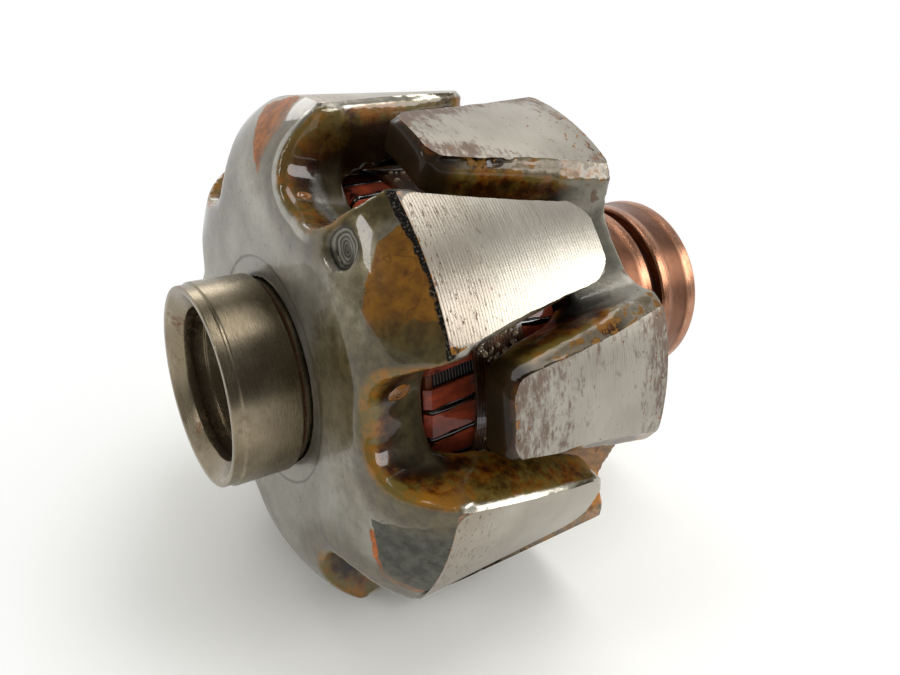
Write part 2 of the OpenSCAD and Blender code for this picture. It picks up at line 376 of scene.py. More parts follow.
@dataclass(frozen=True)
class Finish:
    """A finish of one of the record's material slots."""

    slot: str

    def material(self) -> Material:
        """Builds the finish's material."""
        shader = Shader(f"{type(self).__name__}_{self.slot}")
        return self.paint(shader)

    def paint(self, shader: Shader) -> Material:
        """Fills the shader; each finish has its own way.

        Args:
            shader: the material's empty nodes.

        Returns:
            The finished material.
        """
        raise NotImplementedError


@dataclass(frozen=True)
class Skin:
    """What a layer is made of: its shade or two shades, share of metal, roughness and gloss."""

    deep: Colour
    metal: float
    rough: float
    gloss: float = 0.0
    light: Colour | None = None


@dataclass(frozen=True)
class Layers:
    """Colour, metal share, roughness and gloss of a surface while layers are laid on it."""

    shader: Shader
    colour: Any
    metal: Any
    rough: Any
    gloss: Any = 0.0

    def lay(self, share: Value, colour: Any, metal: float, rough: float, gloss: float) -> "Layers":
        """Lays another surface over this one.

        Args:
            share: how much of each place the other surface covers.
            colour: the other surface's colour.
            metal: its share of metal.
            rough: its roughness.
            gloss: its clear coat.

        Returns:
            Both surfaces as one.
        """
        pairs = ((self.metal, metal), (self.rough, rough), (self.gloss, gloss))
        return Layers(self.shader, self.shader.mix(share, self.colour, colour),
                      *(below + share * (above - below) for below, above in pairs))

    def under(self, share: Value, skin: Skin, shade: Value | None = None) -> "Layers":
        """Lays a skin over this surface, from its deep to its light shade by the shade's value."""
        colour = self.shader.mix(shade, skin.deep, skin.light) if skin.light else skin.deep
        return self.lay(share, colour, skin.metal, skin.rough, skin.gloss)

    def close(self, normal: Socket) -> Material:
        """Closes the material with this surface under a clear coat."""
        return self.shader.surface({
            "Base Color": self.colour, "Metallic": self.metal, "Roughness": self.rough,
            "Specular IOR Level": 0.1, "Coat Weight": self.gloss, "Coat Roughness": 0.05,
            "Coat IOR": 1.5, "Normal": normal})


@dataclass(frozen=True)
class ForgedSteel(Finish):
    """Forged steel under dipped varnish, with pools in its hollows, painted shade deeper inside, stains and
    broken edges.
    """

    stains: tuple[Stain | Patch, ...] = ()
    gloom: float = 0.34
    crack: Colour = tone(52, 34, 14)
    thin: Skin = Skin(tone(58, 48, 24), metal=0.2, rough=0.28, gloss=0.8, light=tone(86, 74, 42))
    dirt: Skin = Skin(tone(58, 45, 30), metal=0.1, rough=0.5, gloss=0.3)

    def film(self, shader: Shader, broad: Value) -> tuple[Value, Value]:
        """Tells where the varnish lies.

        Args:
            shader: the material's nodes.
            broad: the broad noise, for uneven edges.

        Returns:
            The shares of the surface under thick varnish and under a thin run of it.
        """
        raise NotImplementedError

    def edges(self, coat: Layers, broad: Value, fine: Value) -> Layers:
        """Lays bare or chipped edges over the varnish.

        Args:
            coat: the varnished surface.
            broad: the broad noise.
            fine: the fine noise.

        Returns:
            The surface with its edges.
        """
        raise NotImplementedError

    def paint(self, shader: Shader) -> Material:
        """Lays stains and varnish over grey forging scale, with painted shade deeper inside, then the
        edges.
        """
        s = shader
        broad = s.noise(9, 4)
        fine = s.noise(1.6, 5, 0.6)
        speck = s.noise(0.5, 2)
        drift = s.noise(4.2, 5, 0.62)
        scale = s.ramp(broad + fine * 0.4, (0.45, tone(116, 112, 99)), (0.7, tone(142, 138, 126)),
                       (0.95, tone(164, 160, 149)))
        coat = Layers(s, scale, metal=0.7, rough=0.34 + fine * 0.14, gloss=0.35)
        ragged = broad * 0.35 + fine * 0.65
        shades = fine.fade(0.32, 0.68)
        cracks = abs(s.noise(5, 2) - 0.5).fade(0.008, 0.002) * 0.4
        for stain in self.stains:
            share = stain.mask(s, ragged)
            shade = s.mix(cracks, s.mix(shades, stain.deep, stain.light), self.crack)
            coat = coat.lay(share, shade, stain.metal, stain.rough, stain.gloss)
        thick, thin = self.film(s, broad)
        # Painted shade: the varnish darkens deeper inside, towards the coil and behind the plate, where
        # shade falls; the hollows add the varnish's real pooling.
        painted_inner_shade = s.r.fade(33, 27.5) * s.x.fade(12.5, 18) * 0.75
        hollow = s.attribute("hollow") * 4 + broad.swing(1.2) + fine.swing(1.9) + speck.swing(0.5)
        depth = (hollow + painted_inner_shade + self.gloom).fade(-0.2, 1.2)
        olive = s.ramp(depth, (0.0, tone(104, 88, 42)), (0.35, tone(76, 57, 19)), (0.65, tone(45, 29, 10)),
                       (1.0, tone(8, 5, 4)))
        amber = s.ramp(depth, (0.0, tone(138, 92, 26)), (0.35, tone(112, 64, 13)), (0.65, tone(66, 31, 8)),
                       (1.0, tone(12, 6, 4)))
        varnish = s.mix((drift + fine.swing(0.5)).fade(0.44, 0.62), olive, amber)
        coat = coat.under(thin, self.thin, shades)
        coat = coat.lay(thick, varnish, metal=0.05, rough=0.28, gloss=0.7)
        coat = coat.under(speck.fade(0.66, 0.72) * 0.55, self.dirt)
        coat = self.edges(coat, broad, fine)
        return coat.close(s.bump(broad * 0.5 + fine * 0.3 + speck * 0.05, 0.22))


@dataclass(frozen=True)
class NearForging(ForgedSteel):
    """The near half's forging, varnished in its six scooped valleys and over its claws' flanks."""

    corner_r: float = 6.0
    corner_at_r: float = 33.4
    half_floor: float = 1.25
    wall_lean: float = 0.32
    rim_flare: float = 0.7
    flank_x: float = 19.5
    seat_r: float = 16.4
    rubbed_at: float = 69.0
    shaded_valley_at: float = 68.0
    spot: tuple[float, float, float] = (12.5, 30.6, 41.0)
    spot_r: float = 2.6
    swirl: float = 0.5
    # The top valley's deeper brown: partly the varnish's own colour, partly painted shade.
    brown: Skin = Skin(tone(26, 12, 6), metal=0.05, rough=0.24, gloss=0.8, light=tone(84, 44, 18))
    # Painted shadow deep in the top valley, under the far claw's nose.
    black: Skin = Skin(tone(6, 5, 4), metal=0.05, rough=0.22, gloss=0.8, light=tone(34, 20, 10))
    seat: Skin = Skin(tone(70, 63, 46), metal=0.4, rough=0.4, gloss=0.5)
    rubbed: Skin = Skin(tone(120, 116, 104), metal=0.95, rough=0.2, gloss=0.5, light=tone(190, 187, 177))
    drilled: Skin = Skin(tone(58, 55, 46), metal=0.8, rough=0.32, gloss=0.2, light=tone(124, 121, 109))
    chipped: Skin = Skin(tone(20, 18, 15), metal=0.3, rough=0.6, gloss=0.1, light=tone(92, 84, 70))
    bare: Skin = Skin(tone(140, 134, 120), metal=1.0, rough=0.3, light=tone(188, 183, 170))

    def beside(self, shader: Shader) -> Value:
        """Measures from the rim of the nearest valley.

        Args:
            shader: the material's nodes.

        Returns:
            The distance outside the rim, in millimetres.
        """
        s = shader
        turn = s.from_claw(FAR_CLAW) * (math.pi / 180)
        out = s.r * s.math("COSINE", turn) - self.corner_at_r
        aside = (abs(s.r * s.math("SINE", turn)) - self.half_floor - out.most(0) * self.wall_lean).most(0)
        low = out.least(0)
        return (aside * aside + low * low) ** 0.5 - self.corner_r - self.rim_flare

    def film(self, shader: Shader, broad: Value) -> tuple[Value, Value]:
        """Fills the valleys and covers everything behind the plate, and runs thin around each rim."""
        s = shader
        beside = self.beside(s)
        behind = s.x.fade(self.flank_x - 1, self.flank_x + 1)
        thick = (beside + broad.swing(1.8)).fade(0.8, -0.2).most(behind)
        thin = (beside + broad.swing(6)).fade(6.6, 2.6) * 0.88
        return thick, thin

    def edges(self, coat: Layers, broad: Value, fine: Value) -> Layers:
        """Darkens the top valley's varnish, partly as painted shade, paints a shadow deep in it under the
        far claw's nose, and marks the seat, a rubbed rim, the balancing spot and worn edges.
        """
        s = coat.shader
        beside = self.beside(s)
        # Painted shade: the top valley's varnish turns a deeper brown, partly its own colour.
        upper = abs(s.angle - self.shaded_valley_at + broad.swing(16))
        brown = upper.fade(26, 18) * (beside + fine.swing(1.2)).fade(0.4, -0.6) * 0.55
        coat = coat.under(brown, self.brown, fine)
        # Painted shadow: near black deep in the top valley, under the far claw's nose.
        black = upper.fade(19, 12) * (s.x + fine.swing(3)).fade(17.5, 22)
        black = black * (s.r + broad.swing(3)).fade(35.6, 33.6) * 0.92
        coat = coat.under(black, self.black, fine)
        seat = abs(s.r - self.seat_r + fine.swing(0.3)).fade(0.3, 0.1) * s.x.fade(11.5, 10.8) * 0.7
        coat = coat.under(seat, self.seat)
        crest = abs(beside - 0.75 + fine.swing(0.8)).fade(0.75, 0.3) * s.x.fade(17, 15.5)
        rubbed = crest * abs(s.angle - self.rubbed_at + broad.swing(14)).fade(22, 15) * 0.85
        coat = coat.under(rubbed, self.rubbed, fine)
        spot = s.near(rotor_point(*self.spot)) + fine.swing(0.5)
        swirl = spot.wave(self.swirl) * 0.5 + 0.5
        coat = coat.under(spot.fade(self.spot_r, self.spot_r - 0.25), self.drilled, swirl)
        front = s.x.fade(18.4, 17.6)
        top = s.from_claw(NEAR_CLAW).fade(0, 13) * 0.35
        front_claw = abs(s.angle - NEAR_CLAW).fade(22, 18)
        chips = (s.r + fine.swing(0.9) + broad.swing(0.9) + top).fade(36.72, 36.82) * front
        chips = chips * front_claw.most(broad.fade(0.56, 0.6))
        coat = coat.under(chips, self.chipped, s.noise(0.3, 2).fade(0.52, 0.7))
        bare = (s.r + fine.swing(0.8)).fade(36.1, 36.5) * (1 - front)
        return coat.under(bare, self.bare, fine)


@dataclass(frozen=True)
class FarForging(ForgedSteel):
    """The far half's forging: thin varnish all over, thick inside, scraped along the bevels."""

    back_x: float = 51.1
    scraped: Skin = Skin(tone(62, 52, 40), metal=0.7, rough=0.42, gloss=0.3, light=tone(132, 121, 102))
    flaked: Skin = Skin(tone(84, 56, 20), metal=0.05, rough=0.3, gloss=0.8, light=tone(146, 104, 40))
    rusty: Skin = Skin(tone(98, 72, 52), metal=0.3, rough=0.5, gloss=0.1)
    nose: Skin = Skin(tone(9, 7, 6), metal=0.05, rough=0.5, gloss=0.25, light=tone(40, 28, 14))

    def film(self, shader: Shader, broad: Value) -> tuple[Value, Value]:
        """Covers the claws fully, thinner towards the back, and the back in blots."""
        s = shader
        inside = (s.x + broad.swing(9)).fade(self.back_x - 4.5, self.back_x - 8.5)
        return inside, broad.fade(0.44, 0.66) * 0.7

    def edges(self, coat: Layers, broad: Value, fine: Value) -> Layers:
        """Scrapes the bevels, leaves flakes of amber on them and darkens the noses."""
        s = coat.shader
        bevel = s.r.fade(35.4, 35.9) * s.x.fade(26.5, 30)
        mottle = fine + broad.swing(0.3)
        coat = coat.under(bevel * (broad + fine.swing(0.6)).fade(0.56, 0.48), self.scraped, fine)
        coat = coat.under(bevel * mottle.fade(0.53, 0.58), self.flaked, broad)
        coat = coat.under(mottle.fade(0.58, 0.66) * s.x.fade(41, 46) * 0.7, self.rusty)
        nose = (s.x + fine.swing(1)).fade(29, 26.5) * (s.r + fine.swing(1.2)).fade(37.2, 36.5) * 0.94
        return coat.under(nose, self.nose, fine)


class Wear(Enum):
    """How the turned outside of a half has aged."""

    SPECKED = "specked"
    STREAKED = "streaked"


@dataclass(frozen=True)
class TurnedClaws(Finish):
    """The claws' turned outside: bright steel with tool marks, specks and rust streaks."""

    wear: Wear
    first_claw: float
    end_x: float
    end_half: float
    taper: float
    groove: float = 0.42
    corner: float = 2.2
    tint: Skin = Skin(tone(128, 106, 84), metal=0.9, rough=0.36)
    rusty: Skin = Skin(tone(72, 50, 40), metal=0.4, rough=0.5, light=tone(112, 86, 72))
    amber: Skin = Skin(tone(44, 33, 19), metal=0.1, rough=0.35, gloss=0.7, light=tone(146, 96, 34))

    def paint(self, shader: Shader) -> Material:
        """Lays tool marks and rust over bright steel."""
        s = shader
        lines = s.noise(2.0, 3, 0.6, s.stretched(9, 0.6))
        cloud = s.noise(12, 3)
        grit = s.noise(0.8, 4, 0.7, s.stretched(1.8, 0.7))
        marks = s.x.wave(self.groove) * (0.1 + cloud * 0.4) + lines * 1.4
        bright = s.ramp(cloud + lines * 0.35, (0.45, tone(150, 144, 132)), (0.8, tone(174, 168, 156)),
                        (1.0, tone(192, 187, 176)))
        coat = Layers(s, bright, metal=1.0, rough=0.30 + lines * 0.14)
        aside = abs(s.from_claw(self.first_claw)) * (math.pi / 180 * ROTOR_R)
        inside = self.end_half - (s.x - self.end_x) * self.taper - aside
        if self.wear is Wear.SPECKED:
            root = (s.x + cloud.swing(16)).fade(29, 18)
            coat = coat.under(root * 0.3, self.tint)
            rust = grit.fade(0.56, 0.65) * root
            along = (self.corner - (s.x - self.end_x)).most(0)
            across = (self.corner - inside).most(0)
            beyond = (along * along + across * across) ** 0.5 + grit.swing(0.5)
            film = beyond.fade(2.1, 2.3) * along.fade(0, 0.3)
        else:
            tip = (s.x + cloud.swing(14)).fade(40, 25) + (s.x + cloud.swing(8)).fade(44, 51)
            streak = s.noise(2.6, 5, 0.7, s.stretched(1.6, 0.8))
            upper = s.angle.fade(30, 50)
            rim = (inside + cloud.swing(3)).fade(2.4, 0.4)
            stained = s.from_claw(self.first_claw) * 0.004 + upper * (rim * 0.14 - 0.08)
            rust = (grit * 0.5 + streak * 0.6 + tip * 0.15 + stained).fade(0.58, 0.76) * 0.8
            ends = s.x.fade(26.5, 24.5) * 0.2 + s.x.fade(44, 51) * 0.08 + upper * s.x.fade(38, 47) * 0.05
            film = (s.noise(0.9, 3) + ends).fade(0.70, 0.74)
        coat = coat.under(rust, self.rusty, lines)
        coat = coat.under(film, self.amber, grit.fade(0.4, 0.6))
        return coat.close(s.bump(marks * 0.5, 0.024))


@dataclass(frozen=True)
class TurnedHub(Finish):
    """The collar's turned steel, stained brown, with rust in its bore and groove."""

    groove_x: float = 9.6
    mouth_r: float = 13.2
    brown: Skin = Skin(tone(84, 64, 42), metal=0.75, rough=0.4)
    bored: Skin = Skin(tone(134, 122, 100), metal=0.9, rough=0.26)
    bore_rust: Skin = Skin(tone(60, 36, 20), metal=0.3, rough=0.55, light=tone(128, 76, 38))
    groove_rust: Skin = Skin(tone(84, 48, 24), metal=0.2, rough=0.7)

    def paint(self, shader: Shader) -> Material:
        """Lays fine tool lines, stains and rust over grey steel."""
        s = shader
        lines = s.noise(1.2, 3, 0.6, s.stretched(14, 0.5))
        cloud = s.noise(7, 4)
        fine = s.noise(0.9, 5, 0.65)
        steel = s.ramp(cloud + lines * 0.3, (0.4, tone(108, 97, 78)), (0.75, tone(146, 134, 112)),
                       (1.0, tone(176, 166, 146)))
        coat = Layers(s, steel, metal=1.0, rough=0.22 + lines * 0.12)
        coat = coat.under((cloud * 0.6 + fine * 0.6).fade(0.62, 0.86) * 0.6, self.brown)
        bore = s.r.fade(self.mouth_r - 0.6, self.mouth_r - 1.6)
        coat = coat.under(bore, self.bored)
        coat = coat.under(bore * (cloud * 0.6 + fine * 0.5).fade(0.60, 0.76), self.bore_rust, fine)
        groove = abs(s.x - self.groove_x).fade(0.55, 0.15) * fine.fade(0.25, 0.5)
        coat = coat.under(groove, self.groove_rust)
        return coat.close(s.bump(lines * 0.6 + fine * 0.25, 0.05))


@dataclass(frozen=True)
class WrapPaper(Finish):
    """Terracotta insulating paper soaked in varnish."""

    soaked: Skin = Skin(tone(40, 20, 14), metal=0.0, rough=0.2, gloss=1.0)

    def paint(self, shader: Shader) -> Material:
        """Mottles the paper along its length and lets varnish shine on it."""
        s = shader
        grain = s.noise(1.4, 4, 0.6, s.stretched(0.35, 1.6))
        cloud = s.noise(4, 3)
        colour = s.ramp(cloud * 0.7 + grain * 0.5, (0.35, tone(86, 34, 22)), (0.62, tone(132, 56, 36)),
                        (0.85, tone(190, 80, 42)))
        coat = Layers(s, colour, metal=0.0, rough=0.42 + 0.2 * grain, gloss=0.6)
        coat = coat.under((cloud + grain.swing(0.6)).fade(0.42, 0.30), self.soaked)
        return coat.close(s.bump(grain, 0.12))


@dataclass(frozen=True)
class WindingEnamel(Finish):
    """Nearly black enamelled wire drowned in varnish."""

    def paint(self, shader: Shader) -> Material:
        """Varies the enamel from black to deep red brown."""
        s = shader
        cloud = s.noise(3, 3)
        colour = s.ramp(cloud, (0.3, tone(14, 12, 12)), (0.6, tone(40, 22, 16)), (0.8, tone(74, 36, 20)))
        return s.surface({"Base Color": colour, "Metallic": 0.1, "Roughness": 0.3 + cloud * 0.2,
                          "Coat Weight": 0.4, "Coat Roughness": 0.1, "Normal": s.bump(cloud, 0.05)})


@dataclass(frozen=True)
class VarnishedTape(Finish):
    """Brown binding tape under pooled varnish."""

    def paint(self, shader: Shader) -> Material:
        """Shows the tape's threads faintly through glossy brown."""
        s = shader
        cloud = s.noise(3.2, 4)
        thread = s.x.wave(0.5) * 0.5 + 0.5
        colour = s.ramp(cloud + thread * 0.12, (0.35, tone(26, 15, 10)), (0.6, tone(74, 44, 24)),
                        (0.85, tone(124, 82, 44)))
        return s.surface({"Base Color": colour, "Roughness": 0.2 + 0.3 * cloud, "Coat Weight": 1.0,
                          "Coat Roughness": 0.05, "Normal": s.bump(cloud + thread * 0.2, 0.3)})


@dataclass(frozen=True)
class DriedVarnish(Finish):
    """Varnish dried in drops, bubbles and beads, in two shades; on the bubbles the light shade is a painted
    glint.
    """

    light: Colour
    dark: Colour

    def paint(self, shader: Shader) -> Material:
        """Deepens the varnish in clouds under a clear gloss."""
        s = shader
        cloud = s.noise(1.5, 3)
        colour = s.mix(cloud.fade(0.3, 0.7), self.dark, self.light)
        return s.surface({"Base Color": colour, "Roughness": 0.08 + 0.15 * cloud, "Coat Weight": 1.0,
                          "Coat Roughness": 0.03, "Normal": s.bump(cloud, 0.08)})


@dataclass(frozen=True)
class RingCopper(Finish):
    """Slip ring copper, polished at its edges and dark in the brush track."""

    first_x: float = 64.3
    ring_w: float = 8.9
    ring_step: float = 11.2
    worn: Skin = Skin(tone(92, 58, 40), metal=0.85, rough=0.38)

    def paint(self, shader: Shader) -> Material:
        """Darkens the brush track and streaks the copper around the axle."""
        s = shader
        lines = s.noise(1.6, 4, 0.65, s.stretched(10, 0.6))
        cloud = s.noise(5, 4, 0.6, s.stretched(1.2, 0.8))
        along = s.math("WRAP", s.x - self.first_x, self.ring_step, 0.0)
        track = abs(along - self.ring_w / 2).fade(2.6, 1.7)
        colour = s.ramp(cloud + lines * 0.3, (0.4, tone(130, 86, 62)), (0.7, tone(174, 124, 96)),
                        (1.0, tone(208, 166, 136)))
        coat = Layers(s, colour, metal=1.0, rough=0.18 + lines * 0.15)
        coat = coat.under(track * (0.45 + (cloud + lines * 0.4).fade(0.5, 0.85) * 0.5), self.worn)
        return coat.close(s.bump(lines, 0.04))


@dataclass(frozen=True)
class Moulding(Finish):
    """Dull resin, fibre or iron that holds the coil and the rings, in two shades."""

    low: Colour = tone(34, 18, 12)
    high: Colour = tone(84, 46, 28)

    def paint(self, shader: Shader) -> Material:
        """Clouds the two shades and dulls them in places."""
        s = shader
        cloud = s.noise(4, 4)
        colour = s.mix(cloud.fade(0.3, 0.75), self.low, self.high)
        return s.surface({"Base Color": colour, "Roughness": 0.3 + 0.3 * cloud,
                          "Normal": s.bump(cloud, 0.15)})


def select_only(piece: Piece) -> None:
    """Selects one object and makes it the active one.

    Args:
        piece: the object.
    """
    bpy.ops.object.select_all(action="DESELECT")
    piece.select_set(True)
    bpy.context.view_layer.objects.active = piece


def apply_modifier(piece: Piece, kind: str, **settings: Any) -> None:
    """Adds a modifier and applies it.

    Args:
        piece: the object that gets it.
        kind: the modifier's type.
        settings: the modifier's properties.
    """
    select_only(piece)
    made = piece.modifiers.new(kind.title(), kind)
    for key, value in settings.items():
        setattr(made, key, value)
    bpy.ops.object.modifier_apply(modifier=made.name)


def smooth(piece: Piece, degrees: float) -> None:
    """Shades a piece smooth, apart from edges that bend by more than an angle."""
    select_only(piece)
    bpy.ops.object.shade_smooth_by_angle(angle=math.radians(degrees))


def join(parts: list[Piece], name: str) -> Piece:
    """Joins objects into one piece.

    Args:
        parts: the objects, each with its place in its mesh.
        name: the piece's name.

    Returns:
        The piece.
    """
    bpy.ops.object.select_all(action="DESELECT")
    for part in parts:
        part.select_set(True)
    bpy.context.view_layer.objects.active = parts[0]
    bpy.ops.object.join()
    parts[0].name = name
    return parts[0]


def add(adder: Callable[..., set[str]], name: str, **settings: Any) -> Piece:
    """Adds a primitive by itself and bakes its place into its mesh.

    Args:
        adder: the primitive's operator.
        name: the new object's name.
        settings: the operator's own settings.

    Returns:
        The new object, selected and active.
    """
    bpy.ops.object.select_all(action="DESELECT")
    adder(**settings)
    piece = bpy.context.object
    piece.name = name
    bpy.ops.object.transform_apply(location=True, rotation=True, scale=True)
    return piece


def copy_node(node: str, name: str) -> Piece:
    """Copies a solid as a closed mesh of its own.

    Args:
        node: the solid's node.
        name: the copy's name.

    Returns:
        The copy, merged and without materials.
    """
    select_only(frame["nodes"][node])
    bpy.ops.object.duplicate(linked=False)
    piece = bpy.context.object
    piece.name = name
    piece.parent = None
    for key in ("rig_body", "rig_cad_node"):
        del piece[key]
    piece.data.materials.clear()
    bpy.ops.mesh.customdata_custom_splitnormals_clear()
    bpy.ops.object.mode_set(mode="EDIT")
    bpy.ops.mesh.select_all(action="SELECT")
    bpy.ops.mesh.remove_doubles(threshold=MERGE_GAP * MM)
    bpy.ops.mesh.select_mode(type="FACE")
    bpy.ops.mesh.select_all(action="DESELECT")
    bpy.ops.object.mode_set(mode="OBJECT")
    return piece


def read_rows(items: Any, key: str, width: int, kind: type = np.float64) -> np.ndarray:
    """Reads one value of every vertex, normal or edge of a mesh.

    Args:
        items: the mesh's vertices, normals or edges.
        key: the value's name.
        width: how many numbers the value has.
        kind: the numbers' type.

    Returns:
        One row for each item.
    """
    rows = np.empty(len(items) * width, dtype=kind)
    items.foreach_get(key, rows)
    return rows.reshape(-1, width)


def axle_distance(mesh: bpy.types.Mesh) -> np.ndarray:
    """Gives each vertex's distance from the axle, in millimetres."""
    places = read_rows(mesh.vertices, "co", 3)
    return np.hypot(places[:, 1], places[:, 2]) / MM


def dress(piece: Piece, *finishes: Finish, stands_for: tuple[str, ...] = ()) -> None:
    """Gives a new piece its finishes, its body and the solids that it stands for.

    Args:
        piece: the finished mesh.
        finishes: one finish for each material slot.
        stands_for: the nodes that it replaces.
    """
    piece.data.materials.clear()
    for finish in finishes:
        piece.data.materials.append(finish.material())
    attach(piece, BODY)
    if stands_for:
        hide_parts(*stands_for)
    log.info("%s: %d faces", piece.name, len(piece.data.polygons))


def dress_node(node: str, finish: Finish) -> None:
    """Gives a solid that stays as it is a better finish.

    Args:
        node: the solid's node.
        finish: the finish.
    """
    solid = frame["nodes"][node]
    solid.data.materials.clear()
    solid.data.materials.append(finish.material())
    log.info("%s: solid kept", node)


@dataclass
class ForgedHalf:
    """One claw-pole half: a soft forging whose outside was turned afterwards."""

    node: str
    name: str
    forging: ForgedSteel
    turned: TurnedClaws
    turned_from: float
    turned_to: float
    nose_x: float
    nose_r: float
    nose_depth: float
    bevel_run: float = 1.11
    voxel: float = 0.42
    rim_growth: float = 1.2
    all_rounds: int = 2
    soften_rounds: int = 14
    crisp_r: float = 36.4
    soft_r: float = 35.4
    rim_steps: int = 288
    hollow_rounds: int = 12
    rim_slack: float = 0.05
    turned_slack: float = 0.06
    cutter_length: float = 200.0
    smooth_to: float = 24.0
    piece: Piece = field(init=False)

    def build(self) -> Piece:
        """Softens a copy of the solid and turns its outside to size.

        Returns:
            The dressed half.
        """
        self.piece = copy_node(self.node, self.name)
        self.grow_rim()
        apply_modifier(self.piece, "REMESH", mode="VOXEL", voxel_size=self.voxel * MM)
        self.soften()
        self.round_noses()
        self.turn_rim()
        smooth(self.piece, self.smooth_to)
        self.mark_hollows()
        dress(self.piece, self.forging, self.turned, stands_for=(self.node,))
        reach = axle_distance(self.piece.data)
        for face in self.piece.data.polygons:
            face.material_index = int(min(reach[i] for i in face.vertices) > ROTOR_R - self.turned_slack)
        return self.piece

    def grow_rim(self) -> None:
        """Raises the claws' outside along the slopes that meet it, so that turning leaves crisp edges."""
        reach = axle_distance(self.piece.data)
        for face in self.piece.data.polygons:
            outside = min(reach[i] for i in face.vertices) > ROTOR_R - self.rim_slack
            face.select = outside and abs(face.normal.x) < 0.5
        select_only(self.piece)
        bpy.ops.object.mode_set(mode="EDIT")
        growth = {"value": self.rim_growth * MM}
        bpy.ops.mesh.extrude_region_shrink_fatten(TRANSFORM_OT_shrink_fatten=growth)
        bpy.ops.object.mode_set(mode="OBJECT")
        pull = math.degrees(self.rim_growth * self.bevel_run / ROTOR_R)
        for vertex, r in zip(self.piece.data.vertices, axle_distance(self.piece.data)):
            if r < ROTOR_R + self.rim_growth / 2:
                continue
            claw, beside = self.nearest_claw(vertex)
            aside = math.copysign(max(abs(beside) - pull, 0), beside)
            x = min(max(vertex.co.x / MM, self.turned_from), self.turned_to)
            vertex.co = rotor_point(x, ROTOR_R + self.rim_growth, claw + aside)

    def nearest_claw(self, vertex: bpy.types.MeshVertex) -> tuple[float, float]:
        """Finds the claw that a vertex belongs to.

        Args:
            vertex: the vertex.

        Returns:
            The claw's angle and the vertex's angle from it, in degrees.
        """
        first = self.turned.first_claw
        angle = math.degrees(math.atan2(vertex.co.z, -vertex.co.y)) + REST_ROLL - first
        claw = CLAW_PITCH * round(angle / CLAW_PITCH)
        return first + claw, angle - claw

    def round_noses(self) -> None:
        """Rounds the outer corners of the claws' noses, less with depth."""
        towards = math.copysign(1, self.nose_x - (self.turned_from + self.turned_to) / 2)
        for vertex, r in zip(self.piece.data.vertices, axle_distance(self.piece.data)):
            ahead = (vertex.co.x / MM - self.nose_x) * towards
            if ahead < 0:
                continue
            claw, beside = self.nearest_claw(vertex)
            aside = math.radians(beside) * r
            reach = self.nose_r + min(max(ROTOR_R - r, 0), self.nose_depth) * self.bevel_run
            share = reach / max(math.hypot(ahead, aside), reach)
            vertex.co = rotor_point(self.nose_x + ahead * share * towards, r, claw + beside * share)

    def soften(self) -> None:
        """Rounds the forged edges and leaves the turned rim crisp."""
        reach = axle_distance(self.piece.data)
        group = self.piece.vertex_groups.new(name="forged")
        share = np.clip((self.crisp_r - reach) / (self.crisp_r - self.soft_r), 0, 1)
        for index in np.nonzero(share)[0]:
            group.add([int(index)], float(share[index]), "REPLACE")
        apply_modifier(self.piece, "SMOOTH", factor=0.5, iterations=self.all_rounds)
        apply_modifier(self.piece, "SMOOTH", factor=0.5, iterations=self.soften_rounds,
                       vertex_group=group.name)

    def turn_rim(self) -> None:
        """Cuts the grown rim back to the turned diameter."""
        cutter = add(bpy.ops.mesh.primitive_cylinder_add, "turning_cut", vertices=self.rim_steps,
                     radius=ROTOR_R * MM, depth=self.cutter_length * MM, rotation=ALONG_AXLE)
        apply_modifier(self.piece, "BOOLEAN", operation="INTERSECT", solver="MANIFOLD", object=cutter)
        bpy.data.objects.remove(cutter)

    def mark_hollows(self) -> None:
        """Writes how hollow each place is, in bends per millimetre, for the varnish to gather in."""
        mesh = self.piece.data
        places = read_rows(mesh.vertices, "co", 3) / MM
        normals = read_rows(mesh.vertex_normals, "vector", 3, np.float32)
        ends = read_rows(mesh.edges, "vertices", 2, np.int32)
        bend = np.zeros(len(places))
        links = np.zeros(len(places))
        for here, there in ((ends[:, 0], ends[:, 1]), (ends[:, 1], ends[:, 0])):
            run = places[there] - places[here]
            span = np.maximum((run ** 2).sum(1), 1e-4)
            np.add.at(bend, here, np.clip(2 * (run * normals[here]).sum(1) / span, -1, 1))
            np.add.at(links, here, 1)
        bend /= np.maximum(links, 1)
        bend[np.hypot(places[:, 1], places[:, 2]) > self.crisp_r] = 0
        for _ in range(self.hollow_rounds):
            total = bend.copy()
            np.add.at(total, ends[:, 0], bend[ends[:, 1]])
            np.add.at(total, ends[:, 1], bend[ends[:, 0]])
            bend = total / (links + 1)
        layer = mesh.attributes.new("hollow", "FLOAT", "POINT")
        layer.data.foreach_set("value", bend.astype(np.float32))


@dataclass
class Hub:
    """The bored collar and sleeve, with broken edges."""

    node: str = "hub_sleeve"
    edge: float = 0.14
    edge_from: float = 35.0
    smooth_to: float = 30.0

    def build(self) -> None:
        """Breaks the sharp edges of a copy of the solid."""
        piece = copy_node(self.node, "turned_collar")
        apply_modifier(piece, "BEVEL", width=self.edge * MM, segments=3, limit_method="ANGLE",
                       angle_limit=math.radians(self.edge_from), loop_slide=False)
        smooth(piece, self.smooth_to)
        dress(piece, TurnedHub("turned_steel"), stands_for=(self.node,))


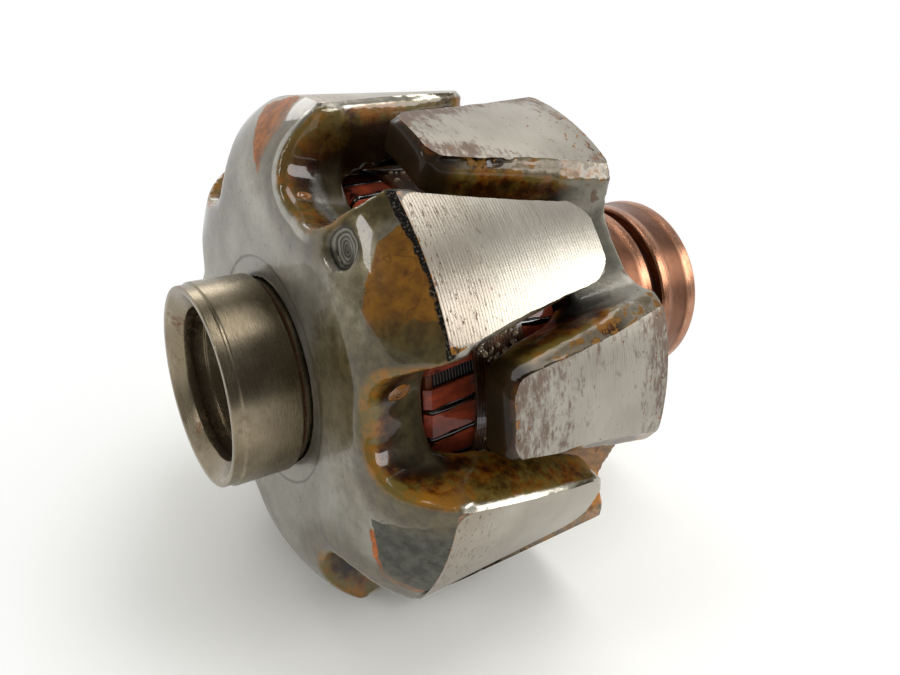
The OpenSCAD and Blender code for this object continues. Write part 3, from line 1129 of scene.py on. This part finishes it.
@dataclass
class PaperWrap:
    """The slit insulating paper folded over one end of the coil."""

    node: str
    name: str
    end_x: float
    middle_x: float = 31.25
    outer_r: float = 26.15
    paper_t: float = 0.4
    fold: float = 1.0
    flap_count: int = 42
    slit: float = 0.8
    wide_slit: float = 1.9
    first_slit: float = 6.8
    skew: float = 2.4
    bead_r: float = 0.58
    bead_at_r: float = 25.9
    bead_swell: tuple[float, float] = (0.85, 1.15)
    bead_height: float = 0.8
    lift: float = 0.14
    curl: tuple[float, float] = (0.03, 0.132)
    straight_at: float = 0.3
    seed: int = 4
    smooth_to: float = 40.0

    @property
    def way(self) -> int:
        """Tells which way along the axle the flaps run from the fold."""
        return 1 if self.middle_x > self.end_x else -1

    @property
    def length(self) -> float:
        """Gives the flaps' length."""
        return abs(self.middle_x - self.end_x)

    def build(self) -> None:
        """Makes every flap and the beads of varnish in the slits between them."""
        chance = random.Random(self.seed)
        piece = join([self.flap(i, chance) for i in range(self.flap_count)], self.name)
        apply_modifier(piece, "SOLIDIFY", thickness=self.paper_t * MM, offset=-1.0)
        smooth(piece, self.smooth_to)
        dress(piece, WrapPaper("wrap_fibre"), stands_for=(self.node,))
        beads = join([self.bead(i, chance) for i in range(1, self.flap_count)], f"{self.name}_beads")
        dress(beads, DriedVarnish("wrap_fibre", tone(34, 20, 14), tone(10, 8, 8)))

    def bead(self, index: int, chance: random.Random) -> Piece:
        """Runs one dark bead of varnish along a slit, thicker and thinner on its way.

        Args:
            index: the number of the flap above the slit.
            chance: the wrap's own random numbers.

        Returns:
            The bead as a closed tube.
        """
        made = add(bpy.ops.mesh.primitive_uv_sphere_add, f"{self.name}_bead_{index}", segments=10,
                   ring_count=18, radius=1)
        bpy.ops.object.shade_smooth()
        angle = self.first_slit + index * 360 / self.flap_count
        swell = chance.uniform(*self.bead_swell)
        to_angle = 180 / math.pi / self.bead_at_r
        for vertex in made.data.vertices:
            run = math.acos(max(-1.0, min(1.0, vertex.co.z))) / math.pi
            ring = max(math.hypot(vertex.co.x, vertex.co.y), 1e-6)
            ripple = 1 + 0.12 * math.sin(run * 17 + index)
            fat = self.bead_r * swell * min(1.0, 2.2 * math.sqrt(ring)) * ripple
            lean = self.skew * (run - self.straight_at) + fat * vertex.co.y / ring * self.way * to_angle
            sink = max(self.fold - run * self.length, 0) ** 2 / (2 * self.fold)
            r = self.bead_at_r - sink + fat * vertex.co.x / ring * self.bead_height
            vertex.co = rotor_point(self.end_x + self.way * run * self.length, r, angle + lean)
        return made

    def slit_edge(self, number: int, side: int) -> float:
        """Finds one edge of a slit; the first slit, which is also the last, gapes.

        Args:
            number: the slit's number from the gaping one upwards.
            side: 1 for the upper edge and -1 for the lower one.

        Returns:
            The edge's angle at the fold, in degrees.
        """
        middle = self.first_slit + number * (360 / self.flap_count)
        gap = self.wide_slit if number in (0, self.flap_count) else self.slit
        return middle + side * gap / 2 * (180 / math.pi / self.outer_r)

    def flap(self, index: int, chance: random.Random) -> Piece:
        """Bends one flap around the coil, with a little lift of its own.

        Args:
            index: the flap's number from the wide slit upwards.
            chance: the wrap's own random numbers.

        Returns:
            The flap as a single sheet.
        """
        sheet = add(bpy.ops.mesh.primitive_grid_add, f"{self.name}_{index}", x_subdivisions=16,
                    y_subdivisions=8, size=1)
        low = self.slit_edge(index, 1)
        high = self.slit_edge(index + 1, -1)
        tilt = chance.uniform(-self.lift, self.lift)
        curl = chance.uniform(*self.curl)
        for vertex in sheet.data.vertices:
            along = (vertex.co.x + 0.5) * self.length
            share = vertex.co.y
            lean = self.skew * (along / self.length - self.straight_at)
            angle = (low + high) / 2 + share * (high - low) + lean
            drop = self.fold - math.sqrt(max(self.fold ** 2 - max(self.fold - along, 0) ** 2, 0))
            r = self.outer_r - drop - curl * (1 - 4 * share * share) + tilt * share
            vertex.co = rotor_point(self.end_x + self.way * along, r, angle)
        if self.way < 0:
            sheet.data.flip_normals()
        return sheet


@dataclass
class Winding:
    """The field coil's outer layer of wire."""

    node: str = "field_winding"
    start_x: float = 21.8
    outer_r: float = 25.55
    wire_d: float = 0.46
    turns: int = 42
    layers_t: float = 2.0
    around_steps: int = 120
    smooth_to: float = 50.0

    def build(self) -> None:
        """Lays the outer turns side by side over the layers below."""
        wire_r = self.wire_d / 2
        wire = add(bpy.ops.mesh.primitive_torus_add, "outer_turns", major_segments=self.around_steps,
                   minor_segments=8, rotation=ALONG_AXLE, location=(self.start_x * MM, 0, 0),
                   minor_radius=wire_r * MM, major_radius=(self.outer_r - wire_r) * MM)
        apply_modifier(wire, "ARRAY", count=self.turns, use_relative_offset=False, use_constant_offset=True,
                       constant_offset_displace=(self.wire_d * MM, 0, 0))
        length = self.turns * self.wire_d
        middle_x = self.start_x + (length - self.wire_d) / 2
        below = add(bpy.ops.mesh.primitive_cylinder_add, "lower_layers", vertices=self.around_steps,
                    radius=(self.outer_r - self.wire_d * 0.6) * MM, depth=length * MM,
                    rotation=ALONG_AXLE, location=(middle_x * MM, 0, 0), end_fill_type="NOTHING")
        apply_modifier(below, "SOLIDIFY", thickness=self.layers_t * MM, offset=-1.0)
        piece = join([wire, below], "wound_wire")
        smooth(piece, self.smooth_to)
        dress(piece, WindingEnamel("enamelled_wire"), stands_for=(self.node,))


@dataclass
class BindingTape:
    """The tape around the coil's middle and the varnish bubbles caught on it, with painted glints."""

    node: str = "binding_band"
    start_x: float = 27.2
    width: float = 8.2
    outer_r: float = 26.75
    inner_r: float = 26.16
    bubble_count: int = 190
    seed: int = 11
    bubble_r: tuple[float, float] = (0.16, 0.5)
    bubble_margin: float = 0.3
    front_bubbles: int = 61
    front_channel: float = 15.0
    channel_count: int = 12
    channel_half: float = 7.0
    smooth_to: float = 40.0

    def build(self) -> None:
        """Makes the tape and its bubbles."""
        chance = random.Random(self.seed)
        tape = add(bpy.ops.mesh.primitive_cylinder_add, "binding_tape", vertices=240,
                   radius=self.outer_r * MM, depth=self.width * MM, end_fill_type="NOTHING",
                   rotation=ALONG_AXLE, location=((self.start_x + self.width / 2) * MM, 0, 0))
        bpy.ops.object.mode_set(mode="EDIT")
        bpy.ops.mesh.select_all(action="SELECT")
        bpy.ops.mesh.subdivide(number_cuts=7)
        bpy.ops.object.mode_set(mode="OBJECT")
        apply_modifier(tape, "SOLIDIFY", thickness=(self.outer_r - self.inner_r) * MM, offset=-1.0)
        smooth(tape, self.smooth_to)
        dress(tape, VarnishedTape("varnished_tape"), stands_for=(self.node,))
        bubbles = join([self.bubble(i, chance) for i in range(self.bubble_count)], "varnish_bubbles_painted_glints")
        # The bubbles' pale shade is a painted glint; their dark shade is the varnish.
        dress(bubbles, DriedVarnish("varnished_tape", tone(196, 172, 134), tone(50, 27, 14)))

    def bubble(self, index: int, chance: random.Random) -> Piece:
        """Sets one bubble on the tape, in a channel between two claws.

        Args:
            index: the bubble's number; the first ones sit in the front channel.
            chance: the tape's own random numbers.

        Returns:
            The bubble.
        """
        channel = self.front_channel
        if index >= self.front_bubbles:
            channel += 360 / self.channel_count * (index % self.channel_count)
        radius = chance.uniform(*self.bubble_r)
        x = self.start_x + chance.uniform(self.bubble_margin, self.width - self.bubble_margin)
        angle = channel + chance.uniform(-self.channel_half, self.channel_half)
        made = add(bpy.ops.mesh.primitive_uv_sphere_add, "bubble", segments=10, ring_count=6,
                   radius=radius * MM, location=rotor_point(x, self.outer_r, angle))
        bpy.ops.object.shade_smooth()
        return made


@dataclass
class VarnishDrops:
    """Drops of varnish that ran down the near half and dried, each by its place, length and width."""

    forging: Piece
    spots: tuple[tuple[float, float, float, float, float], ...] = (
        (15.9, 26.7, 6.7, 3.4, 2.6),
        (13.4, 27.2, 66.5, 2.2, 1.3),
        (16.4, 27.0, 56.0, 2.6, 1.4),
        (16.8, 27.4, -66.0, 2.4, 1.5),
        (15.2, 27.3, 125.0, 2.8, 1.7),
        (16.0, 27.0, 184.0, 2.2, 1.4),
        (15.0, 26.9, -118.0, 2.6, 1.6),
    )
    height: float = 0.16
    rings: float = 0.42
    ripple: float = 0.03

    def build(self) -> None:
        """Sets every drop flat on the forging and joins them."""
        piece = join([self.drop(*spot) for spot in self.spots], "varnish_drops")
        dress(piece, DriedVarnish("varnished_steel", tone(140, 86, 18), tone(88, 54, 12)))

    def drop(self, x: float, r: float, angle: float, length: float, width: float) -> Piece:
        """Lays one flattened drop with rings on the nearest place of the forging.

        Args:
            x: the drop's place along the axle.
            r: its distance from the axle.
            angle: its angle around the axle.
            length: its size along the valley.
            width: its size across the valley.

        Returns:
            The drop.
        """
        _, place, normal, _ = self.forging.closest_point_on_mesh(rotor_point(x, r, angle))
        made = add(bpy.ops.mesh.primitive_uv_sphere_add, "drop", segments=32, ring_count=24, radius=1)
        bpy.ops.object.shade_smooth()
        along = Vector((1, 0, 0)).cross(normal).cross(normal).normalized()
        across = normal.cross(along)
        for vertex in made.data.vertices:
            flat = math.hypot(vertex.co.x, vertex.co.y)
            rise = vertex.co.z * self.height + self.ripple * math.sin(math.pi * flat * width / self.rings)
            vertex.co = place + (along * (vertex.co.x * length / 2) + across * (vertex.co.y * width / 2)
                                 + normal * rise) * MM
        return made


@dataclass(frozen=True)
class Lamp:
    """A soft lamp: its direction from the rotor, its sizes in metres and its power in watts."""

    name: str
    towards: tuple[float, float, float]
    width: float
    height: float
    power: float
    distance: float = 0.42

    def build(self, aim: Vector) -> None:
        """Adds the lamp and points it at the rotor.

        Args:
            aim: the place that it points at.
        """
        place = aim + Vector(self.towards).normalized() * self.distance
        bpy.ops.object.light_add(type="AREA", location=place)
        lamp = bpy.context.object
        lamp.name = self.name
        lamp.data.shape = "RECTANGLE"
        lamp.data.size = self.width
        lamp.data.size_y = self.height
        lamp.data.energy = self.power
        lamp.rotation_euler = (aim - place).to_track_quat("-Z", "Y").to_euler()


@dataclass
class Studio:
    """Pale table, soft lamps and the camera."""

    camera_place: Vector = field(default_factory=lambda: Vector((-25.214, -96.814, 34.789)))
    camera_aim: Vector = field(default_factory=lambda: Vector((29.146, -18.304, 5.089)))
    camera_roll: float = 4.56
    lens: float = 29.77
    sensor: float = 36.0
    table_half: float = 2.5
    white_from_to: tuple[float, float] = (40.0, 98.0)
    fill_light: float = 0.6
    dark_side: tuple[float, float, float] = (-0.35, -0.70, 0.62)
    dark_from_to: tuple[float, float] = (-0.15, 0.30)
    dark_light: float = 0.12
    lamps: tuple[Lamp, ...] = (
        Lamp("top_softbox", (0.30, -0.04, 0.95), 0.26, 0.18, 0.66),
        Lamp("right_softbox", (0.67, -0.60, 0.42), 0.26, 0.15, 0.84),
        Lamp("left_softbox", (-0.85, 0.10, 0.50), 0.07, 0.14, 0.3),
        Lamp("back_softbox", (0.05, 0.82, 0.56), 0.26, 0.10, 0.3),
    )
    lamp_aim_x: float = 35.0
    table_middle_x: float = 40.0
    nearest_seen: float = 2.0

    def build(self) -> None:
        """Builds the stage around the rotor."""
        self.build_camera()
        self.build_table()
        self.build_world()
        for lamp in self.lamps:
            lamp.build(Vector((self.lamp_aim_x * MM, 0, 0)))
        bpy.context.scene.view_settings.view_transform = "Standard"

    def build_camera(self) -> None:
        """Puts the camera at the photograph's place."""
        place = lay_down(self.camera_place) * MM
        ahead = lay_down(self.camera_aim) * MM - place
        bpy.ops.object.camera_add(location=place)
        camera = bpy.context.object
        camera.name = "photo_camera"
        camera.data.lens = self.lens
        camera.data.sensor_width = self.sensor
        camera.data.clip_start = self.nearest_seen * MM
        roll = Matrix.Rotation(math.radians(self.camera_roll), 3, "Z")
        camera.rotation_euler = (ahead.to_track_quat("-Z", "Y").to_matrix() @ roll).to_euler()
        bpy.context.scene.camera = camera

    def build_table(self) -> None:
        """Lays the pale table under the rotor; away from the rotor it runs into the white behind it."""
        middle = Vector((self.table_middle_x * MM, 0, CAD_BOX[0].z))
        table = add(bpy.ops.mesh.primitive_plane_add, "pale_table", size=2 * self.table_half,
                    location=(0, 0, middle.z))
        s = Shader("pale_table")
        cloud = s.noise(160, 2)
        top = s.node("ShaderNodeBsdfPrincipled", {}, {
            "Base Color": s.mix(cloud, tone(243, 243, 238), tone(247, 247, 243)), "Roughness": 0.6})
        white = s.node("ShaderNodeEmission", {}, {"Strength": 1.0})
        away = s.near(middle).fade(*self.white_from_to) * s.seen_rays()
        both = s.node("ShaderNodeMixShader", {}, {0: away, 1: top.outputs[0], 2: white.outputs[0]})
        s.node("ShaderNodeOutputMaterial", {}, {"Surface": both.outputs[0]})
        table.data.materials.append(s.material)

    def build_world(self) -> None:
        """Surrounds the rotor with plain white, dim as light and darker on the camera's side."""
        world = bpy.data.worlds.new("white_tent")
        bpy.context.scene.world = world
        world.use_nodes = True
        n = Nodes(world.node_tree)
        towards = n.node("ShaderNodeTexCoord").outputs["Generated"]
        dot = n.node("ShaderNodeVectorMath", {"operation": "DOT_PRODUCT"},
                     {0: towards, 1: Vector(self.dark_side).normalized()})
        dark = Value(n, dot.outputs["Value"]).fade(*self.dark_from_to) * Value(n, n.ray("Glossy"))
        level = self.fill_light + n.seen_rays() * (1 - self.fill_light) - dark * (1 - self.dark_light)
        back = n.node("ShaderNodeBackground", {}, {"Color": (1, 1, 1, 1), "Strength": level})
        n.node("ShaderNodeOutputWorld", {}, {"Surface": back.outputs[0]})


OLIVE = (tone(112, 100, 68), tone(84, 74, 46))
CHIP_CORNERS = ((29.6, -23.8), (32.8, -38.5), (37.4, -39.4), (37.4, -17.5))
NEAR_STAINS = (
    Stain(10.3, 22.5, 8, 8.0, *OLIVE),
    Stain(10.3, 26.5, 24, 5.0, *OLIVE),
    Stain(10.3, 24.0, -20, 4.0, *OLIVE, cover=0.6),
    Stain(11.5, 30.5, 34, 3.5, *OLIVE, edge=1.5),
    Stain(13.0, 32.0, 80, 6.0, *OLIVE, cover=0.7),
    Stain(15.0, 35.2, 44, 3.6, tone(84, 70, 40), tone(58, 46, 26), cover=0.8),
    Stain(15.0, 32.5, -74, 5.0, tone(104, 66, 38), tone(62, 44, 30), cover=0.9, metal=0.1),
    Patch(((30.9, 27.5), (31.1, 22), (34, 18.5), (37.4, 17.5), (37.4, 38.5), (34.7, 37.5)),
          tone(126, 84, 22), tone(96, 62, 18)),
    Patch(((33.0, 19), (37.4, 13), (37.4, 19.5), (35, 22)), tone(78, 62, 30), tone(58, 42, 20), cover=0.8),
    Patch(((28.4, 82.5), (33.8, 80.3), (36.8, 83), (35.8, 94.9), (31.6, 89.4)),
          tone(164, 94, 30), tone(120, 68, 22), cover=0.9, rough=0.5, gloss=0.1),
    Patch(((29.3, -27), (32.4, -39.8), (37.4, -40.9), (37.4, -31)), tone(192, 104, 30), tone(120, 62, 20),
          gloss=0.2, ragged=3.4),
    Patch(CHIP_CORNERS, tone(96, 96, 88), tone(74, 74, 67), metal=0.5, rough=0.55, gloss=0.0, ragged=2.4),
)
FAR_STAINS_AND_PAINTED_LIGHT = (
    # Real amber varnish on the lower far claw, its shades painted lighter as painted light falling on it.
    Stain(49.5, 31.4, -38, 9.0, tone(214, 140, 52), tone(164, 100, 34), metal=0.1, ragged=3.5),
    Stain(47.5, 31.0, 98, 6.0, tone(150, 98, 40), tone(104, 64, 26), metal=0.1, ragged=6.0),
)


def main() -> None:
    """Builds the rotor's pieces and the stage."""
    logging.basicConfig(level=logging.INFO, format="%(message)s")
    Studio().build()
    near = ForgedHalf("near_pole_half", "near_claw_forging", NearForging("varnished_steel", NEAR_STAINS),
                      TurnedClaws("varnished_steel", Wear.SPECKED, NEAR_CLAW, end_x=17.3, end_half=9.6,
                                  taper=0.228),
                      turned_from=19.3, turned_to=41.5, nose_x=37.2, nose_r=6.1, nose_depth=1.4).build()
    VarnishDrops(near).build()
    ForgedHalf("far_pole_half", "far_claw_forging", FarForging("claw_steel", FAR_STAINS_AND_PAINTED_LIGHT, gloom=0.75),
               TurnedClaws("claw_steel", Wear.STREAKED, FAR_CLAW, end_x=24.0, end_half=3.5, taper=-0.203),
               turned_from=26.0, turned_to=51.1, nose_x=31.7, nose_r=7.5, nose_depth=2.0).build()
    Hub().build()
    PaperWrap("near_wrap_flaps", "near_paper_flaps", end_x=20.05).build()
    PaperWrap("far_wrap_flaps", "far_paper_flaps", end_x=42.45, seed=9).build()
    Winding().build()
    BindingTape().build()
    for ring in ("inner_slip_ring", "outer_slip_ring"):
        dress_node(ring, RingCopper("ring_copper"))
    dress_node("slip_ring_carrier", Moulding("carrier_resin"))
    dress_node("coil_bobbin", Moulding("bobbin_fibre", tone(70, 34, 18), tone(110, 58, 32)))
    dress_node("pole_core", Moulding("core_iron", tone(70, 68, 64), tone(110, 106, 100)))


if __name__ == "__main__":
    main()
